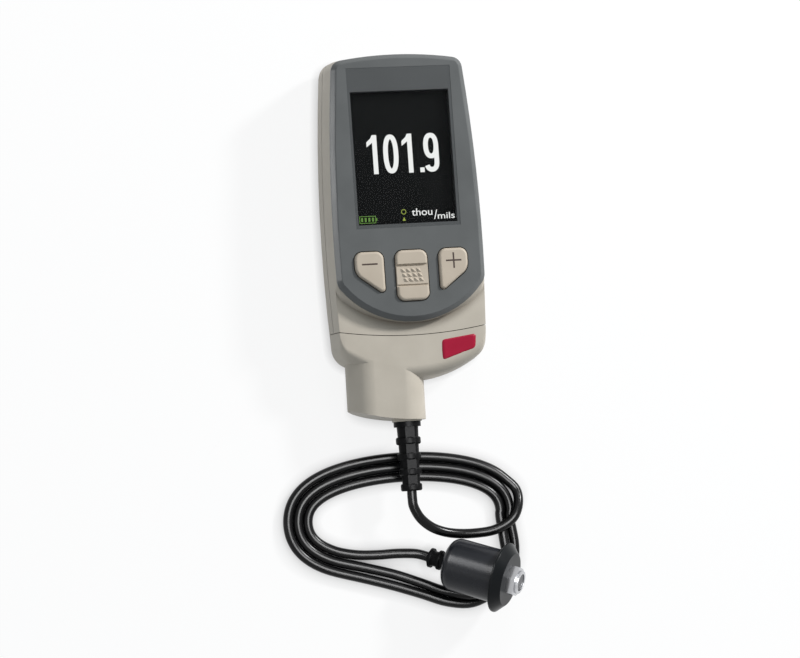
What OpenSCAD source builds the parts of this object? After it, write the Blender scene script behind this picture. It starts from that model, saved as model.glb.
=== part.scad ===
// Handheld thickness gauge with a plug-in probe module, lying on its back.
// Millimetres: +X to the right of the display, +Y to its top, +Z out of its face.

/* [Housing] */
// Length from the crown to the nozzle's ring
body_len = 141.7; // [136:0.1:147]
// Width across the widest line
body_w = 61.4; // [58:0.2:66]
// Depth from the back to the face of the bezel
body_t = 27; // [26:0.5:30]
// Place of the widest line along the length
widest_y = -3; // [-8:0.5:4]
// Bow radius of the long sides
side_r = 670; // [450:10:1200]
// Radius of the crown at the top
crown_r = 144; // [100:1:200]
// Radius of the bowl under the module
bowl_r = 48; // [42:1:70]
// Radius of the lower corners seen from the front
corner_r = 8; // [7:0.5:9]
// Radius of the corners at the crown
crown_corner = 6.2; // [6:0.1:8]
// Wall of the moulded shells
wall = 2; // [1.6:0.1:2.4]
// Width of the rounding along the back edge
back_rx = 5.5; // [4:0.5:6]
// Height of the rounding along the back edge
back_rz = 8; // [6:0.5:10]

/* [Bezel] */
// Thickness of the bezel above the front shell
bezel_t = 3; // [2.6:0.1:3.6]
// Width of the bezel's chamfer
bezel_bevel = 1.9; // [1:0.1:2.6]
// Set-in of the bezel's foot from the side
bezel_inset = 1.9; // [1.2:0.1:2.2]
// Radius of the bezel's lower arc
arc_r = 34.6; // [33:0.2:42]
// Height of the arc's lowest point above the module joint
arc_rise = 4.8; // [4.4:0.2:7]
// Drop from the bezel's face to the face of the module
face_step = 5.5; // [5:0.1:6.5]
// Radius of the cove's lower edge
cove_r = 42.7; // [40:0.1:60]

/* [Display] */
// Width of the bezel beside the window
bezel_side = 10.6; // [9:0.1:12]
// Thickness of the window
window_t = 1.3; // [1:0.1:1.5]
// Gap from the crown to the window
window_drop = 7.2; // [6.2:0.2:9]
// Margin of the window beside the lit display
screen_side = 1; // [0.6:0.1:2]
// Height of the plain band at the top of the window
band_h = 9; // [7:0.2:11]
// Margin of the window below the lit display
screen_margin = 1.4; // [1:0.1:3]
// Thickness of the display panel
lcd_t = 3.4; // [2.6:0.1:4]

/* [Keys] */
// Gap between the window and the keys
key_drop = 8.8; // [7:0.2:10]
// Width of the centre key
centre_key_w = 12.4; // [10:0.2:13]
// Length of the centre key
centre_key_h = 19.2; // [16:0.2:20]
// Margin of the bezel below the centre key
key_margin = 7.8; // [6:0.2:9]
// Width of the bezel and the side beside a side key
key_side = 8.9; // [8:0.1:10]
// Length of a side key
side_key_h = 15.4; // [13:0.2:17]
// Space between the centre key and a side key
key_space = 4.4; // [4.2:0.1:5]
// Height of the keys above the bezel
key_proud = 1.3; // [1.1:0.1:2]
// Travel of the keys
key_travel = 0.8; // [0.4:0.1:0.9]
// Clearance round the keys
key_gap = 0.35; // [0.3:0.05:0.5]

/* [Battery] */
// Diameter of a cell
cell_d = 10.5; // [10:0.1:11]
// Length of a cell with its button
cell_len = 44.5; // [43:0.1:46]
// Thickness of the battery cover
cover_t = 1.6; // [1.4:0.1:2]
// Set-in of the cover from the back
cover_inset = 0.25; // [0.2:0.05:0.5]
// Clearance round the cover
cover_gap = 0.35; // [0.3:0.05:0.6]

/* [Module] */
// Length of the module from its joint to the nozzle's ring
module_len = 32.5; // [30:0.5:35]
// Length of the nozzle below the bowl
nozzle_len = 15.3; // [13:0.1:18]
// Width of the nozzle
nozzle_w = 30; // [26:0.5:32]
// Depth of the nozzle
nozzle_t = 19.6; // [17:0.2:20]
// Place of the nozzle to the left of the middle
nozzle_left = 10.4; // [8:0.2:11]
// Radius of the nozzle's rounded end
nozzle_end_r = 77; // [60:1:100]
// Place of the end's lowest point to the right of the middle
nozzle_end_x = 1.5; // [0:0.5:4]
// Radius of the joint line
joint_r = 163; // [120:1:300]
// Gap at the joint
joint_gap = 0.25; // [0.2:0.05:0.4]

/* [Boot] */
// Length of the boot
boot_len = 26.5; // [24:0.5:30]
// Diameter of the boot's collar
boot_d = 10.4; // [9.5:0.1:11]
// Place of the boot to the left of the middle
boot_left = 3; // [1:0.5:5]
// Height of the boot's axis above the back
boot_z = 12; // [11:0.5:13]

/* [Probe] */
// Diameter of the probe's barrel
probe_d = 20.5; // [19:0.5:21]
// Length of the barrel
barrel_len = 22; // [19:0.5:24]
// Rounding of the barrel's rear edge
barrel_round = 4; // [3:0.2:5]
// Diameter of the flange
flange_d = 27; // [25:0.5:29]
// Thickness of the flange
flange_t = 4; // [3:0.2:5]
// Width across the nut's flats
nut_w = 10.6; // [10:0.1:12]
// Thickness of the nut
nut_t = 3.4; // [2.6:0.1:4]
// Diameter of the transducer's case
case_d = 8.8; // [8:0.1:9.2]
// Diameter of the cord
cord_d = 3.8; // [3.4:0.1:4]

/* [Hidden] */

$fn = 48;
// Colours
beige = "#beb6a5";
key_beige = "#cdc3b2";
bezel_grey = "#64686a";
black = "#1a1a1c";
steel = "#c8cacc";
board_green = "#1f5a3c";

// Thin slices that a hull joins into a key, and facets of roundings
slice_t = 0.1;
round_fn = 32;
joint_fn = 480;
// Steps along each arc of half the outline
low_steps = 9;
corner_steps = 6;
side_steps = 8;
crown_steps = 6;

// Places along the length
crown_share = 0.4969;
top_y = body_len * crown_share;
end_y = top_y - body_len;
joint_y = end_y + module_len;
bowl_y = end_y + nozzle_len;
arc_y = joint_y + arc_rise;
cove_y = arc_y - 1.8;
key_y = arc_y + key_margin + centre_key_h;
window_w = body_w - 2 * bezel_side;
window_h = top_y - window_drop - key_drop - key_y;
window_y = top_y - window_drop - window_h / 2;
screen_w = window_w - 2 * screen_side;
screen_h = window_h - band_h - screen_margin;
screen_y = window_y - window_h / 2 + screen_margin + screen_h / 2;

// Heights above the back
deck_z = body_t - bezel_t;
face_z = body_t - face_step;
split_z = body_t / 2;
deck_t = wall;
seam_h = 0.5;
seam_d = 0.45;
seat_gap = 0.2;

// Brow where the bowl turns to the face, and rise of the face to the cove
brow_ry = 4;
brow_rz = 5;
cove_lip = 0.4;

// Board, display and switches
board_t = 1.6;
board_drop = 6;
board_top = deck_z - board_drop;
board_side = 7.2;
board_w = body_w - 2 * board_side;
board_bottom_y = joint_y + 5.5;
board_top_y = top_y - 6.3;
lcd_border = 1.4;
lcd_flex = 3;
lcd_top = deck_z - seat_gap;
lcd_h = screen_h + lcd_flex + lcd_border;
lcd_y = screen_y - lcd_flex / 2;
lcd_w = screen_w + 2 * lcd_border;
window_seat = 0.1;
window_z = body_t - window_t;

// Keys
key_flange = 1.1;
key_flange_t = 1.1;
key_flange_top = deck_z - 0.4;
key_round = 1.1;
key_corner = 3;
key_belly = 5.2;
key_tip = 1.3;
switch_w = 6;
plunger_d = 3.4;
plunger_h = 0.5;
plunger_top = key_flange_top - key_flange_t - key_travel - 0.3;
side_key_x = centre_key_w / 2 + key_space;
side_key_w = body_w / 2 - key_side - side_key_x;

// Screws
screw_d = 2.2;
screw_head_d = 4.2;
screw_head_t = 1.6;
boss_d = 6.4;
head_seat = 3.2;
screw_fit = 0.1;
upper_screw_side = 10.2;
upper_screw_drop = 8.8;
lower_screw_side = 8.7;
lower_screw_rise = 9.8;
screws = [
    [body_w / 2 - upper_screw_side, top_y - upper_screw_drop],
    [-body_w / 2 + upper_screw_side, top_y - upper_screw_drop],
    [body_w / 2 - lower_screw_side, joint_y + lower_screw_rise],
    [-body_w / 2 + lower_screw_side, joint_y + lower_screw_rise]
];

// Top of a boss: in the deck above the keys, and in the low face below them
function boss_top(y) = y > key_y ? deck_z - deck_t / 2 : face_z - wall / 2;

// Battery bay
cell_space = 0.6;
cell_pitch = cell_d + cell_space;
contact_t = 0.5;
contact_w = 8;
leaf_t = 0.4;
leaf_r = 4;
leaf_w = 6;
contact_fit = 0.1;
bay_wall = 1.5;
bay_w = 3 * cell_pitch + 2.7;
bay_len = cell_len + contact_t + leaf_r + 3 * contact_fit;
bay_rise = 16.8;
bay_y0 = joint_y + bay_rise;
bay_y1 = bay_y0 + bay_len;
cell_z = cover_inset + cover_t + 0.4 + cell_d / 2;
bay_roof = cell_z + cell_d / 2 + 0.4;
ledge = 2;
cover_w = bay_w + 2 * ledge;
cover_h = bay_len + 2 * ledge;
cover_y = (bay_y0 + bay_y1) / 2;
cover_corner = 3;
skirt_t = 1;
skirt_h = 2.6;
skirt_x = bay_w / 2 - cover_gap - skirt_t / 2;
grip_r = 9;
grip_depth = 0.8;

// Socket and plug
socket_w = 18;
socket_t = 6;
socket_len = 10;
tongue_w = 13.4;
tongue_t = 2.6;
tongue_len = 6.5;
plug_gap = 0.35;
socket_z = board_top - board_t - socket_t / 2;
plug_w = 17;
plug_t = 7;
plug_len = 5;
module_board_w = 26;
module_board_len = 5.5;

// Nozzle, boss and boot
boss_len = 1.1;
boss_d_out = boot_d + 1;
nozzle_z = face_z - nozzle_t / 2;
nozzle_rise = 3;
nozzle_root = 7.5;
boot_root_d = 7;
boot_root_len = 3;
boot_rings = 4;
boot_core_top = 8.4;
boot_core_end = 6.6;
boot_ring_t = 2.8;
boot_ring_proud = 0.8;
boot_web_w = 3.6;
boot_end_y = end_y - boot_len;

// Probe, lying with its rear edge down and its barrel on two strands of the cord
probe_x = 10;
probe_y = -126;
probe_heading = 21;
probe_tilt = 30;
probe_z = (probe_d / 2 - barrel_round) * cos(probe_tilt) + barrel_round * (1 - sin(probe_tilt));
relief_len = 8;
relief_d = 6.8;
relief_root_d = 4.6;
relief_root_len = 2.5;
relief_ring_t = 2;
relief_ring_d = 7.6;
flange_rim = 0.9;
flange_break = 0.3;
flange_face_d = 20.5;
case_wall = 1.1;
case_depth = 6;
case_proud = 1;
face_t = 1.2;
face_set = 0.3;
crystal_t = 1;
probe_fit = 0.05;

// Cord: an oval coil of three turns, with hand-laid stretches between them
cord_r = cord_d / 2;
cord_lie = 1.9;
coil_x = -4.5;
coil_y = -107.5;
coil_a = 45.5;
coil_b = 23;
coil_full = 0.18;
coil_pitch = 3.83;
cord_sides = 8;

// Point of a full oval, set in square to its line
function oval(inset, angle) =
    let (
        full = 1 + coil_full * pow(sin(angle), 2),
        swell = 2 * coil_full * sin(angle) * pow(cos(angle), 2),
        along = [coil_a * (swell - sin(angle) * full), coil_b * cos(angle)],
        inward = [-along[1], along[0]] / norm(along)
    )
    [
        coil_x + coil_a * cos(angle) * full + inset * inward[0],
        coil_y + coil_b * sin(angle) + inset * inward[1],
        cord_lie
    ];
function turn(inset, span, count) = [
    for (i = [0 : count - 1]) oval(inset, span[0] + (span[1] - span[0]) * i / (count - 1))
];
function probe_point(s) = [
    probe_x + s * cos(probe_tilt) * cos(probe_heading),
    probe_y - s * cos(probe_tilt) * sin(probe_heading),
    probe_z + s * sin(probe_tilt)
];

lead = [
    [-2.6, -104, 11.8], [0, -108.5, 10.6], [4.5, -112.2, 9], [10, -114.4, 7.6], [16, -115.4, 6.5],
    [22.5, -115.6, 6], [29, -115, 6], [34.6, -112.8, 6], [38.2, -109.6, 5.8], [40.2, -104.6, 4.4],
    [39.9, -99.6, 2.4]
];
under_first = [
    [-22, -129.9, 1.9], [-11, -133.4, 1.9], [0, -137.4, 1.9], [10, -141.2, 1.9], [20, -142.2, 1.9],
    [29.4, -138, 1.9], [36, -131.2, 1.9], [38, -121.8, 1.9]
];
under_second = [
    [-20.7, -126, 1.9], [-9.8, -129.3, 1.9], [0, -133.2, 1.9], [9.8, -137.2, 2], [20.3, -139.1, 4.4],
    [29.3, -135.5, 5.2], [34, -128.6, 4.8], [33.8, -119.8, 2.9]
];
tail = [[-23.6, -120.8, 1.9], [-16, -121.3, 1.9], [-8.5, -121.3, 1.9], [-1.2, -121.9, 2.1]];
first_turn = [32, 236];
second_turn = [-10, 236];
third_turn = [-10, 236];
boot_end = [-boot_left, boot_end_y, boot_z];
route = concat(
    [boot_end, boot_end - [0, 3, 0]],
    lead,
    turn(0, first_turn, 21),
    under_first,
    turn(coil_pitch, second_turn, 25),
    under_second,
    turn(2 * coil_pitch, third_turn, 25),
    tail,
    [probe_point(-relief_len)]
);

function unit(v) = v / norm(v);
function heading(i) = unit(
    i <= 1 ? route[1] - route[0]
    : i >= len(route) - 2 ? route[len(route) - 1] - route[len(route) - 2]
    : route[i + 1] - route[i - 1]
);
function across(i) = unit(cross(heading(i), [0, 0, 1]));
function ring(i) = [
    for (k = [0 : cord_sides - 1])
        let (angle = 360 * k / cord_sides, side = across(i))
        route[i] + cord_r * (cos(angle) * side + sin(angle) * cross(side, heading(i)))
];

// Outline seen from the front: two bowed sides, a crown and a lower arc, with rounded corners
function dir(angle) = [cos(angle), sin(angle)];
function angle_of(v) = atan2(v[1], v[0]);
function meet(c1, r1, c2, r2, sign) =
    let (d = norm(c2 - c1), u = (c2 - c1) / d, a = (r1 * r1 - r2 * r2 + d * d) / (2 * d))
    c1 + a * u + sign * sqrt(r1 * r1 - a * a) * [-u[1], u[0]];
function fan(c, r, from, to, first, last, count) = [
    for (i = [first : last]) c + r * dir(from + (to - from) * i / count)
];
function half_outline(inset, low_r, low_y) =
    let (
        side = [body_w / 2 - side_r, widest_y],
        crown = [0, top_y - crown_r],
        low = [0, low_y + low_r],
        shoulder = meet(side, side_r - corner_r, low, low_r - corner_r, -1),
        corner = meet(side, side_r - crown_corner, crown, crown_r - crown_corner, 1),
        n1 = angle_of(shoulder - low),
        n2 = angle_of(shoulder - side),
        n3 = angle_of(corner - side),
        n4 = angle_of(corner - crown)
    )
    concat(
        fan(low, low_r - inset, -90, n1, 0, low_steps, low_steps),
        fan(shoulder, corner_r - inset, n1, n2, 1, corner_steps - 1, corner_steps),
        fan(side, side_r - inset, n2, n3, 0, side_steps, side_steps),
        fan(corner, crown_corner - inset, n3, n4, 1, corner_steps - 1, corner_steps),
        fan(crown, crown_r - inset, n4, 90, 0, crown_steps, crown_steps)
    );
function outline(inset, low_r, low_y) =
    let (right = half_outline(inset, low_r, low_y), last = len(right) - 1)
    concat(right, [for (i = [last - 1 : -1 : 1]) [-right[i][0], right[i][1]]]);
function at_height(z, points) = [for (p = points) [p[0], p[1], z]];
function bowl_ring(z, inset, lift = 0) = at_height(z, outline(inset, bowl_r, bowl_y + lift));
function cove_ring(z, inset) = at_height(z, outline(inset, cove_r, cove_y));
function arc_ring(z, inset) = at_height(z, outline(inset, arc_r + bezel_inset, arc_y - bezel_inset));
// Draft of the sides from the rounding of the back to the bezel
function draft(z) = bezel_inset * pow(max(0, z - back_rz) / (deck_z - back_rz), 1.4);

// Solid between outlines stacked from the lowest to the highest
module loft(rings) {
    count = len(rings[0]);
    last = len(rings) - 1;
    polyhedron(
        points = [for (r = rings) each r],
        faces = concat(
            [[for (k = [0 : count - 1]) k]],
            [for (i = [0 : last - 1], k = [0 : count - 1])
                [i * count + k, (i + 1) * count + k, (i + 1) * count + (k + 1) % count]],
            [for (i = [0 : last - 1], k = [0 : count - 1])
                [i * count + k, (i + 1) * count + (k + 1) % count, i * count + (k + 1) % count]],
            [[for (k = [count - 1 : -1 : 0]) last * count + k]]
        )
    );
}

// Outside of gauge and module together: rounded back, drafted sides, brow, cove and raised deck
module outer_form() {
    loft(concat(
        [for (a = [0 : 18 : 90]) bowl_ring(back_rz * (1 - cos(a)), back_rx * (1 - sin(a)))],
        [for (a = [90 : -22.5 : 0])
            let (z = face_z - brow_rz * (1 - cos(a)))
            bowl_ring(z, draft(z), brow_ry * (1 - sin(a)))],
        [cove_ring(face_z + cove_lip, draft(face_z + cove_lip)), arc_ring(deck_z, bezel_inset)]
    ));
}

module inner_form() {
    loft([
        bowl_ring(wall, back_rx * 0.65),
        bowl_ring(back_rz * 0.55, wall + 0.7),
        bowl_ring(back_rz, wall),
        bowl_ring(face_z - brow_rz, wall + draft(face_z - brow_rz), wall),
        bowl_ring(face_z - wall, wall + draft(face_z), brow_ry + wall),
        cove_ring(face_z - wall + cove_lip, wall + draft(face_z + wall)),
        arc_ring(deck_z - deck_t, wall + bezel_inset)
    ]);
}

// Everything on the gauge's side of the joint
module gauge_side(r) {
    translate([0, joint_y + joint_r, -1]) cylinder(r = r, h = 2 * body_t, $fn = joint_fn);
}

module upper_half() {
    translate([-body_w, end_y - body_len, split_z]) cube([2 * body_w, 3 * body_len, body_t]);
}

module lower_half() {
    translate([-body_w, end_y - body_len, split_z - body_t]) cube([2 * body_w, 3 * body_len, body_t]);
}

module rounded_rect(w, h, r) {
    square([w - 2 * r, h], center = true);
    square([w, h - 2 * r], center = true);
    for (x = [-1, 1], y = [-1, 1])
        translate([x * (w / 2 - r), y * (h / 2 - r)]) circle(r);
}

// Shadow line round the outside of the front shell where it meets the rear one
module seam_cut() {
    inset = draft(split_z) + seam_d;
    difference() {
        translate([-body_w, end_y, split_z - seam_h]) cube([2 * body_w, 2 * body_len, 2 * seam_h]);
        loft([bowl_ring(split_z - 2 * seam_h, inset), bowl_ring(split_z + 2 * seam_h, inset)]);
    }
}

module socket_opening() {
    translate([-socket_w / 2 - plug_gap, joint_y - wall, socket_z - socket_t / 2 - plug_gap])
        cube([socket_w + 2 * plug_gap, socket_len + wall, socket_t + 2 * plug_gap]);
}

module centre_key_plan() {
    translate([0, key_y - centre_key_h / 2]) rounded_rect(centre_key_w, centre_key_h, key_corner);
}

// Side key, right or left by side: upright inner edge, and an outer edge that slants to a tip
module side_key_plan(side) {
    near = side * (side_key_x + key_corner);
    far = side * (side_key_x + side_key_w - key_corner);
    hull() {
        translate([near, key_y - key_corner]) circle(key_corner, $fn = round_fn);
        translate([far, key_y - key_corner]) circle(key_corner, $fn = round_fn);
        translate([side * (side_key_x + side_key_w - key_belly), key_y - 1.08 * key_belly])
            circle(key_belly, $fn = round_fn);
        translate([side * (side_key_x + key_tip), key_y - side_key_h + key_tip])
            circle(key_tip, $fn = round_fn);
    }
}

module key_plans() {
    centre_key_plan();
    side_key_plan(1);
    side_key_plan(-1);
}

module rear_housing() {
    color(beige) difference() {
        union() {
            difference() {
                intersection() {
                    outer_form();
                    lower_half();
                    gauge_side(joint_r);
                }
                intersection() {
                    inner_form();
                    gauge_side(joint_r - wall);
                }
            }
            for (p = screws)
                translate([p[0], p[1], wall / 2])
                    cylinder(d = boss_d, h = board_top - board_t - wall / 2);
            translate([-bay_w / 2 - bay_wall, bay_y0 - bay_wall, wall / 2])
                cube([bay_w + 2 * bay_wall, bay_len + 2 * bay_wall, bay_roof + bay_wall - wall / 2]);
        }
        translate([-bay_w / 2, bay_y0, -1]) cube([bay_w, bay_len, bay_roof + 1]);
        translate([0, cover_y, -1])
            linear_extrude(cover_inset + cover_t + seat_gap + 1)
                rounded_rect(cover_w + 2 * cover_gap, cover_h + 2 * cover_gap, cover_corner + cover_gap);
        for (p = screws) {
            translate([p[0], p[1], -1]) cylinder(d = screw_d + 2 * screw_fit, h = body_t);
            translate([p[0], p[1], -1]) cylinder(d = screw_head_d + 2 * screw_fit, h = head_seat + 1);
        }
        socket_opening();
    }
}

module front_housing() {
    color(beige) difference() {
        union() {
            difference() {
                intersection() {
                    outer_form();
                    upper_half();
                    gauge_side(joint_r);
                }
                intersection() {
                    inner_form();
                    gauge_side(joint_r - wall);
                }
                seam_cut();
                translate([-lcd_w / 2 - seat_gap, lcd_y - lcd_h / 2 - seat_gap, split_z])
                    cube([lcd_w + 2 * seat_gap, lcd_h + 2 * seat_gap, body_t]);
                translate([0, 0, split_z])
                    linear_extrude(body_t) offset(r = key_flange + key_gap, $fn = round_fn) key_plans();
            }
            for (p = screws)
                translate([p[0], p[1], board_top]) cylinder(d = boss_d, h = boss_top(p[1]) - board_top);
        }
        for (p = screws)
            translate([p[0], p[1], board_top - 1])
                cylinder(d = screw_d, h = face_z - wall - board_top + 1);
        socket_opening();
    }
}

module front_bezel() {
    color(bezel_grey) difference() {
        loft([
            arc_ring(deck_z, bezel_inset),
            arc_ring(deck_z + bezel_t / 3, bezel_inset + 0.05),
            arc_ring(body_t - bezel_t / 8, bezel_inset + bezel_bevel * 0.75),
            arc_ring(body_t, bezel_inset + bezel_bevel)
        ]);
        translate([0, window_y, window_z - window_seat]) linear_extrude(window_t + 1)
            square([window_w + 2 * window_seat, window_h + 2 * window_seat], center = true);
        translate([-screen_w / 2, screen_y - screen_h / 2, 0]) cube([screen_w, screen_h, 2 * body_t]);
        linear_extrude(2 * body_t) offset(r = key_gap, $fn = round_fn) key_plans();
    }
}

module display_window() {
    color("#202428") translate([-window_w / 2, window_y - window_h / 2, window_z - window_seat])
        cube([window_w, window_h, window_t]);
}

module lcd_module() {
    color("#101214") translate([-lcd_w / 2, lcd_y - lcd_h / 2, lcd_top - lcd_t])
        cube([lcd_w, lcd_h, lcd_t]);
}

module lcd_frame() {
    rim = 3;
    color("white") translate([0, lcd_y, board_top])
        linear_extrude(lcd_top - lcd_t - board_top) difference() {
            square([lcd_w, lcd_h], center = true);
            square([lcd_w - 2 * rim, lcd_h - 2 * rim], center = true);
        }
}

module main_board() {
    corner = 6;
    color(board_green) translate([0, (board_bottom_y + board_top_y) / 2, board_top - board_t])
        difference() {
            linear_extrude(board_t) rounded_rect(board_w, board_top_y - board_bottom_y, corner);
            for (p = screws)
                translate([p[0], p[1] - (board_bottom_y + board_top_y) / 2, -1])
                    cylinder(d = screw_d + 2 * screw_fit, h = board_t + 2);
        }
}

module key_switches() {
    color("dimgray") for (x = [-side_key_x - side_key_w / 2 + 1, 0, side_key_x + side_key_w / 2 - 1])
        translate([x, key_y - side_key_h / 2, board_top]) {
            translate([-switch_w / 2, -switch_w / 2, 0])
                cube([switch_w, switch_w, plunger_top - plunger_h - board_top]);
            cylinder(d = plunger_d, h = plunger_top - board_top);
        }
}

module sounder() {
    sounder_d = 9;
    sounder_y = (bay_y1 + bay_wall + board_top_y) / 2;
    sounder_t = 3;
    color(black) translate([board_w / 4, sounder_y, board_top - board_t - sounder_t])
        cylinder(d = sounder_d, h = sounder_t);
}

module connector_socket() {
    color("dimgray") difference() {
        translate([-socket_w / 2, joint_y + plug_gap, socket_z - socket_t / 2])
            cube([socket_w, socket_len - plug_gap, socket_t]);
        translate([-tongue_w / 2 - plug_gap, joint_y - 1, socket_z - tongue_t / 2 - plug_gap])
            cube([tongue_w + 2 * plug_gap, tongue_len + plug_gap + 1, tongue_t + 2 * plug_gap]);
    }
}

module housing_screws() {
    color(steel) for (p = screws) translate([p[0], p[1], head_seat - screw_head_t]) difference() {
        union() {
            cylinder(d = screw_head_d, h = screw_head_t);
            cylinder(d = screw_d - 2 * screw_fit, h = face_z - 2 * wall - head_seat + screw_head_t);
        }
        translate([0, 0, -1]) cylinder(d = screw_d * 0.8, h = 1 + screw_head_t / 2, $fn = 6);
    }
}

// Turns the middle cell and its contacts end for end
module bay_place(i) {
    translate([(i - 1) * cell_pitch, (bay_y0 + bay_y1) / 2, cell_z])
        rotate([0, 0, i == 1 ? 180 : 0]) children();
}

module battery_cell(i) {
    button_d = 3.8;
    button_h = 1;
    color("#8a6a3a") bay_place(i) translate([0, bay_len / 2 - contact_t - contact_fit, 0])
        rotate([90, 0, 0]) {
            cylinder(d = button_d, h = 2 * button_h);
            translate([0, 0, button_h]) cylinder(d = cell_d, h = cell_len - button_h);
        }
}

module battery_cell_1() {
    battery_cell(0);
}

module battery_cell_2() {
    battery_cell(1);
}

module battery_cell_3() {
    battery_cell(2);
}

module contact_plates() {
    color(steel) for (i = [0 : 2]) bay_place(i)
        translate([-contact_w / 2, bay_len / 2 - contact_t, -contact_w / 2])
            cube([contact_w, contact_t, contact_w]);
}

module contact_springs() {
    color(steel) for (i = [0 : 2]) bay_place(i)
        translate([-leaf_w / 2, -bay_len / 2, 0]) rotate([90, 0, 90])
            linear_extrude(leaf_w) intersection() {
                difference() {
                    circle(leaf_r);
                    circle(leaf_r - leaf_t);
                }
                translate([0, -leaf_r]) square([leaf_r, 2 * leaf_r]);
            }
}

module battery_cover() {
    color(beige) difference() {
        union() {
            translate([0, cover_y, cover_inset]) linear_extrude(cover_t)
                rounded_rect(cover_w, cover_h, cover_corner);
            for (x = [-1, 1])
                translate([x * skirt_x - skirt_t / 2, cover_y - bay_len / 4, cover_inset])
                    cube([skirt_t, bay_len / 2, cover_t + skirt_h]);
        }
        translate([0, cover_y - cover_h / 2 + grip_r + 2, cover_inset - grip_r * 2 + grip_depth])
            sphere(r = grip_r * 2);
    }
}

// Key body with a flange below the bezel and a rounded top
module key_body() {
    top = body_t + key_proud;
    translate([0, 0, key_flange_top - key_flange_t])
        linear_extrude(key_flange_t) offset(r = key_flange, $fn = round_fn) children();
    hull() {
        translate([0, 0, key_flange_top - slice_t]) linear_extrude(slice_t) children();
        for (a = [0 : 30 : 90])
            translate([0, 0, top - slice_t - key_round * (1 - cos(a))])
                linear_extrude(slice_t) offset(delta = -key_round * (1 - sin(a))) children();
    }
}

module button_plus() {
    color(key_beige) key_body() side_key_plan(1);
}

module button_minus() {
    color(key_beige) key_body() side_key_plan(-1);
}

// Centre key: lips at both ends, and between them a lower band with slanted ridges and grooves
module button_centre() {
    band_len = centre_key_h * 0.45;
    band_depth = 0.5;
    groove_w = 0.9;
    groove_depth = 0.5;
    ridge_step = 2;
    row_step = 1.8;
    ridge_w = 0.6;
    ridge_h = 0.8;
    ridge_slant = 0.45;
    ridge_point = 0.4;
    band_z = body_t + key_proud - band_depth;
    band_y = key_y - centre_key_h / 2;
    color(key_beige) {
        difference() {
            key_body() centre_key_plan();
            translate([-centre_key_w, band_y - band_len / 2, band_z])
                cube([2 * centre_key_w, band_len, 2 * key_proud]);
            for (y = [-band_len / 2, band_len / 2 - groove_w])
                translate([-centre_key_w, band_y + y, band_z - groove_depth])
                    cube([2 * centre_key_w, groove_w, 2 * key_proud]);
        }
        for (row = [-1 : 1], column = [-2 : 1])
            translate([(column + 0.5) * ridge_step - row * ridge_slant, band_y + row * row_step, band_z])
                linear_extrude(band_depth, scale = ridge_point) polygon([
                    [-ridge_w + ridge_slant, -ridge_h], [ridge_w + ridge_slant, -ridge_h],
                    [ridge_w - ridge_slant, ridge_h], [-ridge_w - ridge_slant, ridge_h]
                ]);
    }
}

module nozzle_prism(w, t) {
    rotate([90 + nozzle_rise, 0, 0]) linear_extrude(module_len) {
        square([w - t, t], center = true);
        for (x = [-1, 1]) translate([x * (w - t) / 2, 0]) circle(d = t);
    }
}

module nozzle_form() {
    intersection() {
        translate([-nozzle_left, joint_y - nozzle_root, nozzle_z]) nozzle_prism(nozzle_w, nozzle_t);
        translate([nozzle_end_x, end_y + boss_len / 2 + nozzle_end_r, -body_t])
            cylinder(r = nozzle_end_r, h = 3 * body_t, $fn = joint_fn);
    }
}

// Probe module: the gauge's outline continued to a bowl, with the nozzle and the boot's ring
module module_housing() {
    color(beige) difference() {
        union() {
            difference() {
                outer_form();
                gauge_side(joint_r + joint_gap);
            }
            nozzle_form();
            translate([-boot_left, end_y, boot_z]) rotate([-90, 0, 0])
                cylinder(d = boss_d_out, h = nozzle_len);
        }
        intersection() {
            inner_form();
            translate([-body_w, bowl_y + wall, 0]) cube([2 * body_w, module_len, body_t]);
        }
        translate([-boot_left, end_y - 1, boot_z]) rotate([-90, 0, 0])
            cylinder(d = boot_root_d + 2 * screw_fit, h = boot_root_len + 1 + screw_fit);
    }
}

module module_end_plate() {
    color(beige) difference() {
        intersection() {
            loft([
                bowl_ring(wall + seat_gap, back_rx * 0.65 + 2 * seat_gap),
                bowl_ring(back_rz * 0.55, wall + 0.7 + 2 * seat_gap),
                bowl_ring(back_rz, wall + 2 * seat_gap),
                bowl_ring(face_z - brow_rz, wall + draft(face_z - brow_rz) + 2 * seat_gap, wall),
                bowl_ring(face_z - wall - 2 * seat_gap, wall + draft(face_z) + 2 * seat_gap, brow_ry + wall)
            ]);
            gauge_side(joint_r + joint_gap + wall);
        }
        gauge_side(joint_r + joint_gap);
        translate([-plug_w / 2 - screw_fit, joint_y - body_t, socket_z - plug_t / 2 - screw_fit])
            cube([plug_w + 2 * screw_fit, 2 * body_t, plug_t + 2 * screw_fit]);
    }
}

module connector_plug() {
    base_y = joint_y - joint_gap - plug_len;
    color("dimgray") {
        translate([-plug_w / 2, base_y, socket_z - plug_t / 2]) cube([plug_w, plug_len, plug_t]);
        translate([-tongue_w / 2, base_y + plug_len / 2, socket_z - tongue_t / 2])
            cube([tongue_w, plug_len / 2 + joint_gap + tongue_len, tongue_t]);
    }
}

module module_board() {
    board_y = joint_y - joint_gap - plug_len - module_board_len;
    color(board_green) translate([-module_board_w / 2, board_y, socket_z - board_t / 2])
        cube([module_board_w, module_board_len, board_t]);
}

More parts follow.
